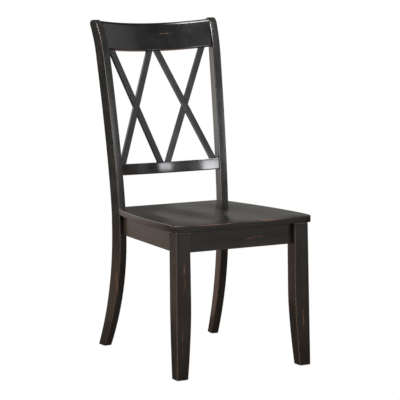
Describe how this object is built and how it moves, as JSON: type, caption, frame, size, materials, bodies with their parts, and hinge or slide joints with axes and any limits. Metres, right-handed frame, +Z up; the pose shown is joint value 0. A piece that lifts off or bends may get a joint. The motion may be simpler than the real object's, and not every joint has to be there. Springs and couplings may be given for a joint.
{
  "type": "side chair",
  "caption": "Armless wooden side chair with a dished solid seat, tapered front legs, sabre-swept rear posts, a bowed crest rail and crossed slats in the back.",
  "frame": {"origin": "middle of the chair's plan outline, on the floor", "axes": "+Z up, -Y out of the front of the chair, +X to the right as seen by someone who faces the front of the chair"},
  "size_m": [0.4632, 0.6528, 1.0522],
  "materials": {
    "painted_wood": "near-black satin paint, rubbed through to reddish brown wood along some edges",
    "painted_seat": "near-black satin paint, a little glossier where it is sat on",
    "bare_wood": "unfinished sawn hardwood",
    "beech": "unfinished turned beech",
    "zinc_steel": "zinc plated steel",
    "grey_nylon": "moulded matte nylon"
  },
  "bodies": {
    "root": {"rear_post_left": "painted_wood", "rear_post_right": "painted_wood", "front_leg_left": "painted_wood", "front_leg_right": "painted_wood", "seat_panel": "painted_seat", "crest_rail": "painted_wood", "lower_back_rail": "painted_wood", "left_slat_rising": "painted_wood", "left_slat_falling": "painted_wood", "right_slat_rising": "painted_wood", "right_slat_falling": "painted_wood", "front_apron": "painted_wood", "rear_apron": "painted_wood", "side_apron_left": "painted_wood", "side_apron_right": "painted_wood", "corner_block_front_left": "bare_wood", "corner_block_front_right": "bare_wood", "corner_block_rear_left": "bare_wood", "corner_block_rear_right": "bare_wood", "block_screw_left_front": "zinc_steel", "block_screw_left_side": "zinc_steel", "block_screw_right_front": "zinc_steel", "block_screw_right_side": "zinc_steel", "seat_screw_front_left": "zinc_steel", "seat_screw_front_right": "zinc_steel", "seat_screw_rear_left": "zinc_steel", "seat_screw_rear_right": "zinc_steel", "hanger_bolt_left": "zinc_steel", "hanger_bolt_right": "zinc_steel", "bolt_washer_left": "zinc_steel", "bolt_washer_right": "zinc_steel", "bolt_nut_left": "zinc_steel", "bolt_nut_right": "zinc_steel", "crest_dowel_left_lower": "beech", "crest_dowel_left_upper": "beech", "crest_dowel_right_lower": "beech", "crest_dowel_right_upper": "beech", "lower_rail_dowel_left": "beech", "lower_rail_dowel_right": "beech", "front_apron_dowel_left_lower": "beech", "front_apron_dowel_left_upper": "beech", "front_apron_dowel_right_lower": "beech", "front_apron_dowel_right_upper": "beech", "rear_apron_dowel_left_lower": "beech", "rear_apron_dowel_left_upper": "beech", "rear_apron_dowel_right_lower": "beech", "rear_apron_dowel_right_upper": "beech", "side_apron_front_dowel_left_lower": "beech", "side_apron_front_dowel_left_upper": "beech", "side_apron_front_dowel_right_lower": "beech", "side_apron_front_dowel_right_upper": "beech", "side_apron_rear_dowel_left_lower": "beech", "side_apron_rear_dowel_left_upper": "beech", "side_apron_rear_dowel_right_lower": "beech", "side_apron_rear_dowel_right_upper": "beech", "glide_front_left": "grey_nylon", "glide_front_right": "grey_nylon", "glide_rear_left": "grey_nylon", "glide_rear_right": "grey_nylon"}
  },
  "joints": []
}
